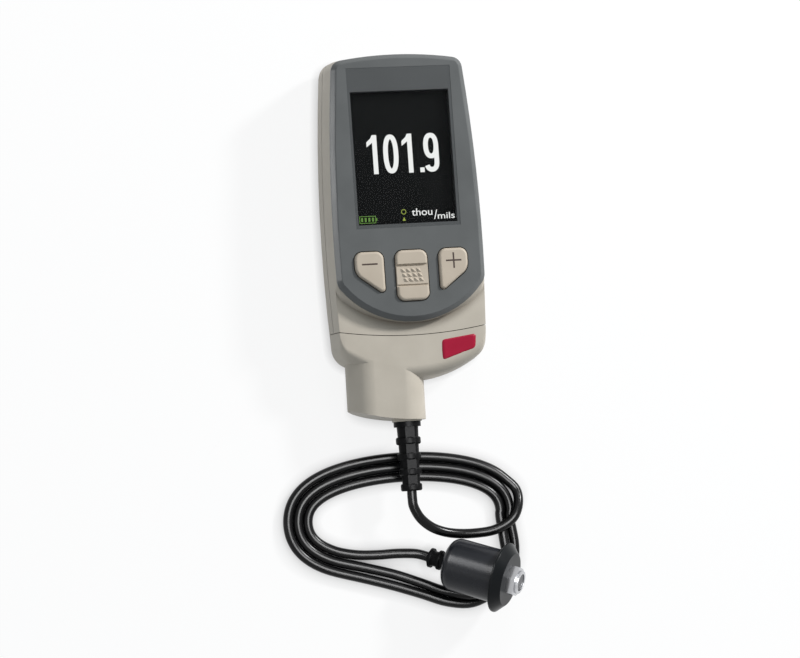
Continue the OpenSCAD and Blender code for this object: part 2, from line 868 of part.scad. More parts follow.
// Segmented strain relief: a tapered core, rings along it and two webs that join them
module cable_boot() {
    ring_step = (boot_len - boot_ring_t) / boot_rings;
    color(black) translate([-boot_left, end_y, boot_z]) rotate([90, 0, 0]) {
        translate([0, 0, -boot_root_len]) cylinder(d = boot_root_d, h = boot_root_len + 1);
        cylinder(d1 = boot_core_top, d2 = boot_core_end, h = boot_len);
        cylinder(d = boot_d, h = boot_ring_t * 0.7);
        for (i = [1 : boot_rings]) translate([0, 0, i * ring_step]) {
            core_d = boot_core_top + (boot_core_end - boot_core_top) * i / boot_rings;
            ring_d = core_d + 2 * boot_ring_proud;
            rotate_extrude() polygon([
                [0, 0], [ring_d / 2 - 0.4, 0], [ring_d / 2, 0.5], [ring_d / 2, boot_ring_t - 0.5],
                [ring_d / 2 - 0.4, boot_ring_t], [0, boot_ring_t]
            ]);
        }
        for (i = [0 : boot_rings - 1]) {
            web_d = boot_core_top + (boot_core_end - boot_core_top) * (i + 1) / boot_rings + 0.9;
            translate([-boot_web_w / 2, -web_d / 2, i * ring_step + 1])
                cube([boot_web_w, web_d, ring_step]);
        }
    }
}

module cord() {
    last = len(route) - 1;
    color(black) polyhedron(
        points = [for (i = [0 : last]) each ring(i)],
        faces = concat(
            [[for (k = [0 : cord_sides - 1]) k]],
            [for (i = [0 : last - 1], k = [0 : cord_sides - 1])
                let (n = (k + 1) % cord_sides, here = i * cord_sides, next = here + cord_sides)
                [here + k, next + k, next + n, here + n]],
            [[for (k = [cord_sides - 1 : -1 : 0]) last * cord_sides + k]]
        )
    );
}

// Puts a piece drawn along +Z on the probe's axis, with its rear face at zero
module on_probe() {
    translate([probe_x, probe_y, probe_z])
        rotate([0, 0, -probe_heading]) rotate([0, 90 - probe_tilt, 0]) children();
}

module probe_boot() {
    color(black) on_probe() translate([0, 0, -relief_len]) {
        cylinder(d1 = relief_d * 0.8, d2 = relief_d, h = relief_len);
        for (i = [0, 1])
            translate([0, 0, relief_ring_t * (0.3 + 1.8 * i)])
                cylinder(d = relief_ring_d, h = relief_ring_t * 0.6);
        cylinder(d = relief_root_d, h = relief_len + relief_root_len);
    }
}

module probe_body() {
    r = probe_d / 2;
    color("#32343c") on_probe() difference() {
        rotate_extrude() {
            translate([0, barrel_round]) square([r, barrel_len - barrel_round]);
            square([r - barrel_round, barrel_round + 1]);
            intersection() {
                translate([r - barrel_round, barrel_round]) circle(barrel_round);
                square([r, barrel_round + 1]);
            }
        }
        translate([0, 0, -1])
            cylinder(d = relief_root_d + 2 * probe_fit, h = relief_root_len + 1 + probe_fit);
        translate([0, 0, barrel_len - case_depth])
            cylinder(d = case_d + 2 * probe_fit, h = case_depth + 1);
    }
}

module probe_collar() {
    color("#2a2c32") on_probe() translate([0, 0, barrel_len]) rotate_extrude() polygon([
        [case_d / 2 + probe_fit, 0], [flange_d / 2 - flange_break, 0], [flange_d / 2, flange_break],
        [flange_d / 2, flange_rim], [flange_face_d / 2, flange_t], [case_d / 2 + probe_fit, flange_t]
    ]);
}

module probe_nut() {
    chamfer = 0.6;
    color(steel) on_probe() translate([0, 0, barrel_len + flange_t]) difference() {
        intersection() {
            cylinder(d = nut_w / cos(30), h = nut_t, $fn = 6);
            rotate_extrude() polygon([
                [0, 0], [nut_w / cos(30) / 2, 0], [nut_w / cos(30) / 2, nut_t - chamfer],
                [nut_w / 2, nut_t], [0, nut_t]
            ]);
        }
        translate([0, 0, -1]) cylinder(d = case_d + 2 * probe_fit, h = nut_t + 2);
    }
}

module transducer_case() {
    length = case_depth + flange_t + nut_t + case_proud - probe_fit;
    color(steel) on_probe() translate([0, 0, barrel_len - case_depth + probe_fit]) difference() {
        cylinder(d = case_d, h = length);
        translate([0, 0, wall]) cylinder(d = case_d - 2 * case_wall, h = length);
    }
}

module wear_face() {
    front = barrel_len + flange_t + nut_t + case_proud;
    color("#3c3e40") on_probe() translate([0, 0, front - face_set - face_t])
        cylinder(d = case_d - 2 * case_wall - 2 * probe_fit, h = face_t);
}

module transducer_crystal() {
    front = barrel_len + flange_t + nut_t + case_proud;
    color("goldenrod") on_probe() translate([0, 0, front - face_set - face_t - crystal_t])
        cylinder(d = case_d - 2 * case_wall - 1, h = crystal_t);
}

rear_housing();
front_housing();
front_bezel();
display_window();
lcd_module();
lcd_frame();
main_board();
key_switches();
sounder();
connector_socket();
housing_screws();
battery_cell_1();
battery_cell_2();
battery_cell_3();
contact_plates();
contact_springs();
battery_cover();
button_minus();
button_centre();
button_plus();
module_housing();
module_end_plate();
connector_plug();
module_board();
cable_boot();
cord();
probe_boot();
probe_body();
probe_collar();
probe_nut();
transducer_case();
wear_face();
transducer_crystal();
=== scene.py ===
import math

import bmesh
import bpy
from mathutils import Matrix, Vector
from mathutils.bvhtree import BVHTree


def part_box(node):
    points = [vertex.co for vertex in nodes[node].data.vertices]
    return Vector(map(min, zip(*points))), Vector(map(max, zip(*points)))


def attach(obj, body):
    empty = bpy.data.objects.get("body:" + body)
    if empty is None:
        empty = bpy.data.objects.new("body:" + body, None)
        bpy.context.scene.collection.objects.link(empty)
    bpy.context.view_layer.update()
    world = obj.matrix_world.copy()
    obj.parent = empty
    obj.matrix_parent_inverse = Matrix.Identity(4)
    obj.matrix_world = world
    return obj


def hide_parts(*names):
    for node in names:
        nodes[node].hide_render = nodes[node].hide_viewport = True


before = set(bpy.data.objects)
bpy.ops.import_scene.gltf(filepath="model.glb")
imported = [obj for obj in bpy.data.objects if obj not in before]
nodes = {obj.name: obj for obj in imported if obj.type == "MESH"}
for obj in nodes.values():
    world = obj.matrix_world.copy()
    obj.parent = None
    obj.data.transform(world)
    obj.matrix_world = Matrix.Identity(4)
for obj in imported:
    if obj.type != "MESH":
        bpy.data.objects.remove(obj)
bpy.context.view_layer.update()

scene = bpy.context.scene
scene.view_settings.view_transform = "Standard"

# Viewpoint and table: the gauge lies on its back on a white table and is looked down on
# from about a metre away, a little to its left, through a long lens.
camera_data = bpy.data.cameras.new("viewpoint")
camera_data.sensor_fit = "HORIZONTAL"
camera_data.sensor_width = 36
camera_data.lens = 115.9
camera_data.clip_start = 0.05
camera = bpy.data.objects.new("viewpoint", camera_data)
view_up = Vector((0.05498, 0.99503, 0.08307))
view_back = Vector((-0.19231, -0.07108, 0.97876))
view_right = view_up.cross(view_back)
view_place = (-0.193139, -0.105878, 0.978756)
camera.matrix_world = Matrix((view_right, view_up, view_back)).transposed().to_4x4()
camera.matrix_world.translation = view_place
scene.collection.objects.link(camera)
scene.camera = camera


def paint(red, green, blue):
    """Colour as a painter's chart gives it, 0 to 255, in the shader's own scale."""
    steps = []
    for value in (red, green, blue):
        value = value / 255
        steps.append(value / 12.92 if value <= 0.04045 else ((value + 0.055) / 1.055) ** 2.4)
    return (*steps, 1.0)


def background_rays(tree):
    """A factor of 1 for rays that see the background: straight, in a gloss or through glass."""
    path = tree.nodes.new("ShaderNodeLightPath")
    factor = path.outputs["Is Camera Ray"]
    for kind in ("Is Glossy Ray", "Is Transmission Ray"):
        either = tree.nodes.new("ShaderNodeMath")
        either.operation = "MAXIMUM"
        tree.links.new(factor, either.inputs[0])
        tree.links.new(path.outputs[kind], either.inputs[1])
        factor = either.outputs[0]
    return factor


table_reach = 3.0
table_signs = ((-1, -1), (1, -1), (1, 1), (-1, 1))
table_corners = [(x * table_reach, y * table_reach, 0) for x, y in table_signs]
table_mesh = bpy.data.meshes.new("table_top")
table_mesh.from_pydata(table_corners, [], [(0, 1, 2, 3)])
table = bpy.data.objects.new("table_top", table_mesh)
scene.collection.objects.link(table)

# The table glows evenly white where it is seen; ambient occlusion dims that glow near the pieces,
# a painted contact shadow under the cord, the probe and the gauge's edges.
contact_reach = 0.0045
contact_softness = 0.5
crevice_samples = 8
glow_share = 0.88
table_white = bpy.data.materials.new("table_white")
table_white.use_nodes = True
tree = table_white.node_tree
paper = tree.nodes["Principled BSDF"]
paper.inputs["Base Color"].default_value = (0.9, 0.9, 0.9, 1)
paper.inputs["Roughness"].default_value = 0.9
paper.inputs["Specular IOR Level"].default_value = 0.0
glow = tree.nodes.new("ShaderNodeEmission")
crevice = tree.nodes.new("ShaderNodeAmbientOcclusion")
crevice.samples = crevice_samples
crevice.inputs["Distance"].default_value = contact_reach
contact = tree.nodes.new("ShaderNodeMath")
contact.operation = "POWER"
contact.inputs[1].default_value = contact_softness
tree.links.new(crevice.outputs["AO"], contact.inputs[0])
tree.links.new(contact.outputs[0], glow.inputs["Strength"])
shade_kept = tree.nodes.new("ShaderNodeMath")
shade_kept.operation = "MULTIPLY"
shade_kept.inputs[1].default_value = glow_share
tree.links.new(background_rays(tree), shade_kept.inputs[0])
white_mix = tree.nodes.new("ShaderNodeMixShader")
tree.links.new(shade_kept.outputs[0], white_mix.inputs["Fac"])
tree.links.new(paper.outputs["BSDF"], white_mix.inputs[1])
tree.links.new(glow.outputs["Emission"], white_mix.inputs[2])
tree.links.new(white_mix.outputs["Shader"], tree.nodes["Material Output"].inputs["Surface"])
table_mesh.materials.append(table_white)

# Studio light: a soft room, a lamp on the right that leaves the left sides in shade, and weak
# ones at the top, on the left and in front. Three cards show only as shine: overhead in the
# black pieces, from the left in the probe, and from low on the left in the bezel's rim.
room = bpy.data.worlds.new("room")
scene.world = room
room.use_nodes = True
tree = room.node_tree
sky = tree.nodes["Background"]
sky.inputs["Color"].default_value = (0.84, 0.93, 1.0, 1)
sky.inputs["Strength"].default_value = 0.33
white_wall = tree.nodes.new("ShaderNodeBackground")
wall_mix = tree.nodes.new("ShaderNodeMixShader")
tree.links.new(background_rays(tree), wall_mix.inputs["Fac"])
tree.links.new(sky.outputs["Background"], wall_mix.inputs[1])
tree.links.new(white_wall.outputs["Background"], wall_mix.inputs[2])
tree.links.new(wall_mix.outputs["Shader"], tree.nodes["World Output"].inputs["Surface"])
lamp_target = Vector((0, -0.03, 0))


def lamp(name, place, size, power):
    """Square soft box that faces the gauge."""
    data = bpy.data.lights.new(name, "AREA")
    data.size = size
    data.energy = power
    box = bpy.data.objects.new(name, data)
    box.location = place
    aim = lamp_target - Vector(place)
    box.rotation_euler = aim.to_track_quat("-Z", "Y").to_euler()
    scene.collection.objects.link(box)
    return box


lamp("lamp_right", place=(0.839, 0.545, 0.625), size=0.14, power=14.2)
lamp("lamp_top", place=(0.1, 0.85, 0.8), size=0.3, power=2.6)
lamp("lamp_left", place=(-0.9, -0.2, 0.5), size=0.4, power=0.4)
lamp("lamp_front", place=(0.05, -0.55, 0.95), size=0.16, power=0.9)


def shine_card(name, place, size, power):
    """Soft box that only shows in the gloss of the pieces in its collection."""
    card = lamp(name, place, size, power)
    card.visible_diffuse = False
    card.light_linking.receiver_collection = bpy.data.collections.new(name)
    return card.light_linking.receiver_collection


black_shine = shine_card("black_shine", place=(0.05, 0.05, 1.0), size=0.6, power=22)
probe_shine = shine_card("probe_shine", place=(-0.72, 0.45, 0.54), size=0.5, power=9)
rim_shine = shine_card("rim_shine", place=(-0.98, 0.2, 0.1), size=0.2, power=4)

# Cord: a limp black lead with a smooth extruded jacket, from the boot on the module to the
# relief on the probe. It lies in three flat turns, and the probe rests on two of them.
mm = 0.001
cord_diameter = 3.8 * mm
cord_lie = 1.9
coil_middle = (-4.5, -107.5)
coil_reach = (45.5, 23.0)
coil_fullness = 0.18
coil_pitch = 3.83
boot_end = (-3, -97.79, 12)
boot_run = 3
probe_rear = (10, -126)
probe_heading = math.radians(21)
probe_tilt = math.radians(30)
probe_radius = 10.25
barrel_round = 4
relief_length = 8


def probe_point(s):
    """Point on the probe's axis, s ahead of its rear face."""
    level = s * math.cos(probe_tilt)
    rear_height = (probe_radius - barrel_round) * math.cos(probe_tilt)
    rear_height += barrel_round * (1 - math.sin(probe_tilt))
    return (
        probe_rear[0] + level * math.cos(probe_heading),
        probe_rear[1] - level * math.sin(probe_heading),
        rear_height + s * math.sin(probe_tilt),
    )


def coil_turn(inset, start, end, count):
    """Points of one turn of the oval coil, set in from the outermost turn."""
    points = []
    for i in range(count):
        angle = math.radians(start + (end - start) * i / (count - 1))
        full = 1 + coil_fullness * math.sin(angle) ** 2
        swell = 2 * coil_fullness * math.sin(angle) * math.cos(angle) ** 2
        along_x = coil_reach[0] * (swell - math.sin(angle) * full)
        along_y = coil_reach[1] * math.cos(angle)
        along = math.hypot(along_x, along_y)
        points.append((
            coil_middle[0] + coil_reach[0] * math.cos(angle) * full - inset * along_y / along,
            coil_middle[1] + coil_reach[1] * math.sin(angle) + inset * along_x / along,
            cord_lie,
        ))
    return points


lead = [
    (-2.6, -104, 11.8), (0, -108.5, 10.6), (4.5, -112.2, 9), (10, -114.4, 7.6),
    (16, -115.4, 6.5), (22.5, -115.6, 6), (29, -115, 6), (34.6, -112.8, 6),
    (38.2, -109.6, 5.8), (40.2, -104.6, 4.4), (39.9, -99.6, 2.4),
]
under_first = [
    (-22, -129.9, 1.9), (-11, -133.4, 1.9), (0, -137.4, 1.9), (10, -141.2, 1.9),
    (20, -142.2, 1.9), (29.4, -138, 1.9), (36, -131.2, 1.9), (38, -121.8, 1.9),
]
under_second = [
    (-20.7, -126, 1.9), (-9.8, -129.3, 1.9), (0, -133.2, 1.9), (9.8, -137.2, 2),
    (20.3, -139.1, 4.4), (29.3, -135.5, 5.2), (34, -128.6, 4.8), (33.8, -119.8, 2.9),
]
tail = [(-23.6, -120.8, 1.9), (-16, -121.3, 1.9), (-8.5, -121.3, 1.9), (-1.2, -121.9, 2.1)]
route = [boot_end, (boot_end[0], boot_end[1] - boot_run, boot_end[2])] + lead
route += coil_turn(inset=0, start=32, end=236, count=21) + under_first
route += coil_turn(inset=coil_pitch, start=-10, end=236, count=25) + under_second
route += coil_turn(inset=2 * coil_pitch, start=-10, end=236, count=25) + tail
route += [probe_point(-relief_length)]


def smooth_line(points, steps):
    """Rounded line through all the points, with that many steps between two of them."""
    line = []
    for i in range(len(points) - 1):
        p0 = Vector(points[max(i - 1, 0)])
        p1 = Vector(points[i])
        p2 = Vector(points[i + 1])
        p3 = Vector(points[min(i + 2, len(points) - 1)])
        for step in range(steps):
            t = step / steps
            swing = (p2 - p0) * t
            swing += (2 * p0 - 5 * p1 + 4 * p2 - p3) * t ** 2
            swing += (3 * p1 - p0 - 3 * p2 + p3) * t ** 3
            line.append(p1 + swing / 2)
    line.append(Vector(points[-1]))
    return line


cord_line = [
    Vector((p.x, p.y, max(p.z, cord_lie))) * mm for p in smooth_line(route, steps=5)
]
cord_curve = bpy.data.curves.new("lead_cord", "CURVE")
cord_curve.dimensions = "3D"
cord_curve.bevel_depth = cord_diameter / 2
cord_curve.bevel_resolution = 6
cord_curve.use_fill_caps = True
spline = cord_curve.splines.new("POLY")
spline.points.add(len(cord_line) - 1)
for point, place in zip(spline.points, cord_line):
    point.co = (*place, 1)
spline.use_smooth = True
lead_cord = bpy.data.objects.new("lead_cord", cord_curve)
scene.collection.objects.link(lead_cord)

shade_end, colour_start = 0.32, 0.62
grain_strength = 0.6
rubbed_by = 0.06


def moulding(name, colour, shade, roughness, grain, depth, cloud=14, gloss=0.5):
    """Moulded material: colour that drifts to shade in soft clouds, with a fine surface grain.
    Grain and cloud are the sizes of their marks in millimetres, depth is the grain's height."""
    material = bpy.data.materials.new(name)
    material.use_nodes = True
    tree = material.node_tree
    shader = tree.nodes["Principled BSDF"]
    shader.inputs["Specular IOR Level"].default_value = gloss
    place = tree.nodes.new("ShaderNodeTexCoord")
    clouds = tree.nodes.new("ShaderNodeTexNoise")
    clouds.inputs["Scale"].default_value = 1 / (cloud * mm)
    clouds.inputs["Detail"].default_value = 4
    tree.links.new(place.outputs["Object"], clouds.inputs["Vector"])
    drift = tree.nodes.new("ShaderNodeValToRGB")
    drift.color_ramp.elements[0].position = shade_end
    drift.color_ramp.elements[0].color = shade
    drift.color_ramp.elements[1].position = colour_start
    drift.color_ramp.elements[1].color = colour
    tree.links.new(clouds.outputs["Fac"], drift.inputs["Fac"])
    tree.links.new(drift.outputs["Color"], shader.inputs["Base Color"])
    grains = tree.nodes.new("ShaderNodeTexNoise")
    grains.inputs["Scale"].default_value = 1 / (grain * mm)
    grains.inputs["Detail"].default_value = 3
    tree.links.new(place.outputs["Object"], grains.inputs["Vector"])
    relief = tree.nodes.new("ShaderNodeBump")
    relief.inputs["Strength"].default_value = grain_strength
    relief.inputs["Distance"].default_value = depth * mm
    tree.links.new(grains.outputs["Fac"], relief.inputs["Height"])
    tree.links.new(relief.outputs["Normal"], shader.inputs["Normal"])
    rubbed = tree.nodes.new("ShaderNodeMapRange")
    rubbed.inputs["To Min"].default_value = roughness - rubbed_by
    rubbed.inputs["To Max"].default_value = roughness + rubbed_by
    tree.links.new(clouds.outputs["Fac"], rubbed.inputs["Value"])
    tree.links.new(rubbed.outputs["Result"], shader.inputs["Roughness"])
    return material


cord_black = moulding(
    "cord_black", paint(8, 8, 9), paint(6, 6, 7),
    roughness=0.24, grain=0.8, depth=0.0015, gloss=0.2,
)
cord_curve.materials.append(cord_black)
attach(lead_cord, "probe_module")
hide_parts("cord")
black_shine.objects.link(lead_cord)

# Rear and front shells: two injection mouldings in beige plastic with a fine spark-eroded
# texture, screwed together from the back along a parting line half way up the sides.
# The front shell carries painted shade: it darkens to brown in the cove under the bezel and near
# its other crevices.
sharp_angle = math.radians(32)
flat_angle = math.radians(0.8)
weld_distance = 0.004 * mm
edge_steps = 2


def rounded_copy(node, name, edge):
    """Copy of a piece with the tessellation joined up and its sharp edges rounded."""
    source = nodes[node]
    form = bmesh.new()
    form.from_mesh(source.data)
    form.transform(source.matrix_world)
    bmesh.ops.remove_doubles(form, verts=form.verts, dist=weld_distance)
    bmesh.ops.dissolve_limit(form, angle_limit=flat_angle, verts=form.verts, edges=form.edges)
    form.normal_update()
    corners = [e for e in form.edges if e.is_manifold and e.calc_face_angle(0) > sharp_angle]
    bmesh.ops.bevel(
        form, geom=corners, offset=edge * mm, offset_type="OFFSET", segments=edge_steps,
        profile=0.5, affect="EDGES", clamp_overlap=True,
    )
    form.normal_update()
    for face in form.faces:
        face.smooth = True
    for e in form.edges:
        e.smooth = not e.is_manifold or e.calc_face_angle(0) < sharp_angle
    mesh = bpy.data.meshes.new(name)
    form.to_mesh(mesh)
    form.free()
    piece = bpy.data.objects.new(name, mesh)
    scene.collection.objects.link(piece)
    evened = piece.modifiers.new("even_shading", "WEIGHTED_NORMAL")
    evened.keep_sharp = True
    return piece


def dress(node, name, body, material, edge):
    """Puts a copy with edges rounded by so many millimetres in the place of a piece."""
    piece = rounded_copy(node, name, edge)
    piece.data.materials.append(material)
    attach(piece, body)
    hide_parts(node)
    return piece


housing_beige = moulding(
    "housing_beige", paint(187, 179, 166), paint(180, 172, 159),
    roughness=0.52, grain=0.32, depth=0.02, gloss=0.3,
)
dress("rear_housing", "rear_shell", "gauge", housing_beige, edge=0.15)

# Painted shade: power on the open sky that makes the crevice darkening deeper and tighter.
crevice_shade_depth = 2.2
mix_first, mix_second, mix_result = 6, 7, 2


def shade_in_crevices(material, name, shade_colour, reach):
    """Copy of a material with painted shade in crevices, up to reach millimetres from them."""
    shaded = material.copy()
    shaded.name = name
    tree = shaded.node_tree
    colour = tree.nodes["Principled BSDF"].inputs["Base Color"]
    unshaded = colour.links[0].from_socket
    open_sky = tree.nodes.new("ShaderNodeAmbientOcclusion")
    open_sky.samples = crevice_samples
    open_sky.inputs["Distance"].default_value = reach * mm
    deepen = tree.nodes.new("ShaderNodeMath")
    deepen.operation = "POWER"
    deepen.inputs[1].default_value = crevice_shade_depth
    blend = tree.nodes.new("ShaderNodeMix")
    blend.data_type = "RGBA"
    blend.inputs[mix_first].default_value = shade_colour
    tree.links.new(open_sky.outputs["AO"], deepen.inputs[0])
    tree.links.new(deepen.outputs[0], blend.inputs["Factor"])
    tree.links.new(unshaded, blend.inputs[mix_second])
    tree.links.new(blend.outputs[mix_result], colour)
    return shaded


# Painted shade: a dark brown that the front shell turns to in its crevices, most of all under the
# bezel.
shell_beige_shaded = shade_in_crevices(housing_beige, "shell_beige_shaded", shade_colour=paint(70, 56, 40), reach=4)
dress("front_housing", "front_shell", "gauge", shell_beige_shaded, edge=0.15)

# Battery cover: a beige moulded plate let into the back over the cells, flush with the rear
# shell. It is lifted off by the thumb hollow at its lower end.
dress("battery_cover", "cover_plate", "cover", housing_beige, edge=0.15)

# Bezel: a grey moulding that clips over the front shell round the window and the keys,
# with a chamfered rim that ends in an arc above the module.
bezel_grey = moulding(
    "bezel_grey", paint(94, 96, 96), paint(89, 91, 91),
    roughness=0.36, grain=0.3, depth=0.01, gloss=0.25,
)
bezel_frame = dress("front_bezel", "bezel_frame", "gauge", bezel_grey, edge=0.15)
rim_shine.objects.link(bezel_frame)

# Display window: a clear acrylic plate bonded into the bezel, printed grey under its hard coat
# outside the lit display, with a plain band along the top.
window_acrylic = moulding(
    "window_acrylic", paint(30, 31, 32), paint(26, 27, 28),
    roughness=0.12, grain=6, depth=0.002, cloud=9, gloss=0.2,
)
window_acrylic.node_tree.nodes["Principled BSDF"].inputs["Alpha"].default_value = 0.12
dress("display_window", "window_pane", "gauge", window_acrylic, edge=0.1)

window_low, window_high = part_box("display_window")
screen_width, screen_height = 38.2 * mm, 51.0 * mm
screen_bottom = window_low[1] + 1.4 * mm
print_depth = 0.03 * mm
print_overlap = 0.2 * mm


def flat_ring(form, outer, inner, z):
    """Flat frame between two upright rectangles (x0, y0, x1, y1)."""
    rows = []
    for x0, y0, x1, y1 in (outer, inner):
        corners = ((x0, y0, z), (x1, y0, z), (x1, y1, z), (x0, y1, z))
        rows.append([form.verts.new(corner) for corner in corners])
    for i in range(4):
        k = (i + 1) % 4
        form.faces.new((rows[0][i], rows[0][k], rows[1][k], rows[1][i]))


print_form = bmesh.new()
flat_ring(
    print_form,
    outer=(
        window_low[0] - print_overlap, window_low[1] - print_overlap,
        window_high[0] + print_overlap, window_high[1] + print_overlap,
    ),
    inner=(-screen_width / 2, screen_bottom, screen_width / 2, screen_bottom + screen_height),
    z=window_high[2] - print_depth,
)
print_mesh = bpy.data.meshes.new("window_print")
print_form.to_mesh(print_mesh)
print_form.free()
window_print = bpy.data.objects.new("window_print", print_mesh)
scene.collection.objects.link(window_print)
print_grey = moulding(
    "print_grey", paint(71, 74, 75), paint(67, 70, 71), roughness=0.6, grain=0.3, depth=0.004,
)
print_mesh.materials.append(print_grey)
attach(window_print, "gauge")

# Display panel: a black colour panel of glass that its holder carries on the board. It shows
# a lit reading, and a battery sign, a probe sign and the unit along its lower edge.
panel_black = moulding(
    "panel_black", paint(13, 15, 15), paint(9, 11, 11),
    roughness=0.5, grain=0.4, depth=0.002, gloss=0.05,
)
panel = nodes["lcd_module"]
panel.data.materials.clear()
panel.data.materials.append(panel_black)
lit_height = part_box("lcd_module")[1][2] + 0.03 * mm
haze_size = 9
haze_share = 0.9


def lit(name, colour, strength):
    """Lit picture elements, uneven as the backlight behind them is."""
    material = bpy.data.materials.new(name)
    material.use_nodes = True
    tree = material.node_tree
    shader = tree.nodes["Principled BSDF"]
    shader.inputs["Base Color"].default_value = (0.02, 0.02, 0.02, 1)
    shader.inputs["Emission Strength"].default_value = strength
    place = tree.nodes.new("ShaderNodeTexCoord")
    haze = tree.nodes.new("ShaderNodeTexNoise")
    haze.inputs["Scale"].default_value = 1 / (haze_size * mm)
    tree.links.new(place.outputs["Object"], haze.inputs["Vector"])
    drift = tree.nodes.new("ShaderNodeValToRGB")
    drift.color_ramp.elements[0].color = (*[haze_share * c for c in colour[:3]], 1)
    drift.color_ramp.elements[1].color = colour
    tree.links.new(haze.outputs["Fac"], drift.inputs["Fac"])
    tree.links.new(drift.outputs["Color"], shader.inputs["Emission Color"])
    return material


lit_white = lit("lit_white", paint(250, 252, 250), strength=1.15)
lit_green = lit("lit_green", paint(110, 170, 45), strength=0.7)
lit_yellow = lit("lit_yellow", paint(170, 190, 60), strength=0.9)
letter_weight = 0.004


def lit_words(name, words, box):
    """Flat lit words fitted to a box (x0, y0, x1, y1) in millimetres."""
    text = bpy.data.curves.new(name, "FONT")
    text.body = words
    text.offset = letter_weight
    text.resolution_u = 6
    text.fill_mode = "FRONT"
    draft = bpy.data.objects.new(name + "_draft", text)
    mesh = bpy.data.meshes.new_from_object(draft)
    mesh.name = name
    bpy.data.objects.remove(draft)
    xs = [v.co.x for v in mesh.vertices]
    ys = [v.co.y for v in mesh.vertices]
    x_scale = (box[2] - box[0]) * mm / (max(xs) - min(xs))
    y_scale = (box[3] - box[1]) * mm / (max(ys) - min(ys))
    for v in mesh.vertices:
        x = box[0] * mm + (v.co.x - min(xs)) * x_scale
        y = box[1] * mm + (v.co.y - min(ys)) * y_scale
        v.co = (x, y, lit_height)
    mesh.materials.clear()
    mesh.materials.append(lit_white)
    piece = bpy.data.objects.new(name, mesh)
    scene.collection.objects.link(piece)
    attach(piece, "gauge")


lit_words("unit_upper", "thou", box=(2.2, 6.35, 10.2, 9.1))
lit_words("unit_lower", "mils", box=(12.2, 4.75, 18.8, 7.2))


def flat_piece(name, outlines, z, material, body):
    """Flat piece of several filled outlines, in millimetres."""
    form = bmesh.new()
    for outline in outlines:
        form.faces.new([form.verts.new((x * mm, y * mm, z)) for x, y in outline])
    mesh = bpy.data.meshes.new(name)
    form.to_mesh(mesh)
    form.free()
    mesh.materials.append(material)
    piece = bpy.data.objects.new(name, mesh)
    scene.collection.objects.link(piece)
    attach(piece, body)


def lit_sign(name, outlines, material):
    """Flat lit sign on the panel."""
    flat_piece(name, outlines, lit_height, material, "gauge")


def bar(x0, y0, x1, y1):
    """Outline of an upright rectangle."""
    return [(x0, y0), (x1, y0), (x1, y1), (x0, y1)]


def stroke(points, width, closed=False):
    """Outlines of the pieces of a stroke of even width along a line of points."""
    count = len(points)
    sides = []
    for i in range(count):
        before = points[i - 1] if closed or i else points[0]
        after = points[(i + 1) % count] if closed or i < count - 1 else points[-1]
        along = Vector((after[0] - before[0], after[1] - before[1])).normalized()
        off = Vector((-along.y, along.x)) * width / 2
        place = Vector(points[i][:2])
        sides.append((place + off, place - off))
    outlines = []
    for i in range(count if closed else count - 1):
        left, right = sides[i]
        next_left, next_right = sides[(i + 1) % count]
        outlines.append([right, next_right, next_left, left])
    return outlines


figure_roundness = 0.86


def rounded_line(middle_x, middle_y, half_w, half_h, start=0, end=360, steps=40):
    """Points of an upright rounded figure, from start to end in degrees."""
    points = []
    for i in range(steps if end - start == 360 else steps + 1):
        angle = math.radians(start + (end - start) * i / steps)
        across, up = math.cos(angle), math.sin(angle)
        points.append((
            middle_x + half_w * math.copysign(abs(across) ** figure_roundness, across),
            middle_y + half_h * math.copysign(abs(up) ** figure_roundness, up),
        ))
    return points


figure_low, figure_high, figure_stroke = 22.9, 37.9, 1.85
figure_middle = (figure_low + figure_high) / 2
half_height = (figure_high - figure_low - figure_stroke) / 2
one_half = 0.9
one_flag = [(-3.1, -4.6), (-0.85, -2.9), (-0.85, 0), (-1.5, -1.3), (-3.1, -2.7)]
figures = []
for one_x in (-10.4, 3.2):
    figures.append(bar(one_x - one_half, figure_low, one_x + one_half, figure_high))
    figures.append([(one_x + x, figure_high + y) for x, y in one_flag])
nought_x, nought_half = -4.3, 2.0
nought = rounded_line(nought_x, figure_middle, nought_half, half_height)
figures += stroke(nought, figure_stroke, closed=True)
point_left, point_right, point_height = 6.7, 8.4, 1.8
figures.append(bar(point_left, figure_low, point_right, figure_low + point_height))
nine_x, nine_half, bowl_half = 11.4, 2.0, 4.0
bowl_middle = figure_high - figure_stroke / 2 - bowl_half
nine_bowl = rounded_line(nine_x, bowl_middle, nine_half, bowl_half)
figures += stroke(nine_bowl, figure_stroke, closed=True)
foot_half = bowl_half - figure_stroke / 2
nine_foot = rounded_line(
    nine_x, figure_low + bowl_half, nine_half, foot_half, start=-155, end=0, steps=18,
)
figures += stroke(nine_foot + [(nine_x + nine_half, bowl_middle)], figure_stroke)
unit_stroke = [(10.75, 4.7), (11.1, 4.7), (12.1, 8.3), (11.75, 8.3)]
lit_sign("unit_stroke", [unit_stroke], lit_white)
lit_sign("reading", figures, lit_white)

battery_left, battery_low, battery_high = -18.2, 4.2, 7.0
battery_right = battery_left + 6.4
battery_wall = 0.25
nub_length, nub_inset = 0.5, 0.9
cell_inset, cell_width, cell_pitch, cell_count = 0.65, 0.75, 1.4, 4
wall_low, wall_high = battery_low + battery_wall, battery_high - battery_wall
battery = [
    bar(battery_left, battery_low, battery_right, wall_low),
    bar(battery_left, wall_high, battery_right, battery_high),
    bar(battery_left, wall_low, battery_left + battery_wall, wall_high),
    bar(battery_right - battery_wall, wall_low, battery_right, wall_high),
    bar(
        battery_right, battery_low + nub_inset,
        battery_right + nub_length, battery_high - nub_inset,
    ),
]
for i in range(cell_count):
    cell_left = battery_left + cell_inset + cell_pitch * i
    cell_right = cell_left + cell_width
    battery.append(bar(cell_left, battery_low + cell_inset, cell_right, battery_high - cell_inset))
lit_sign("battery_sign", battery, lit_green)

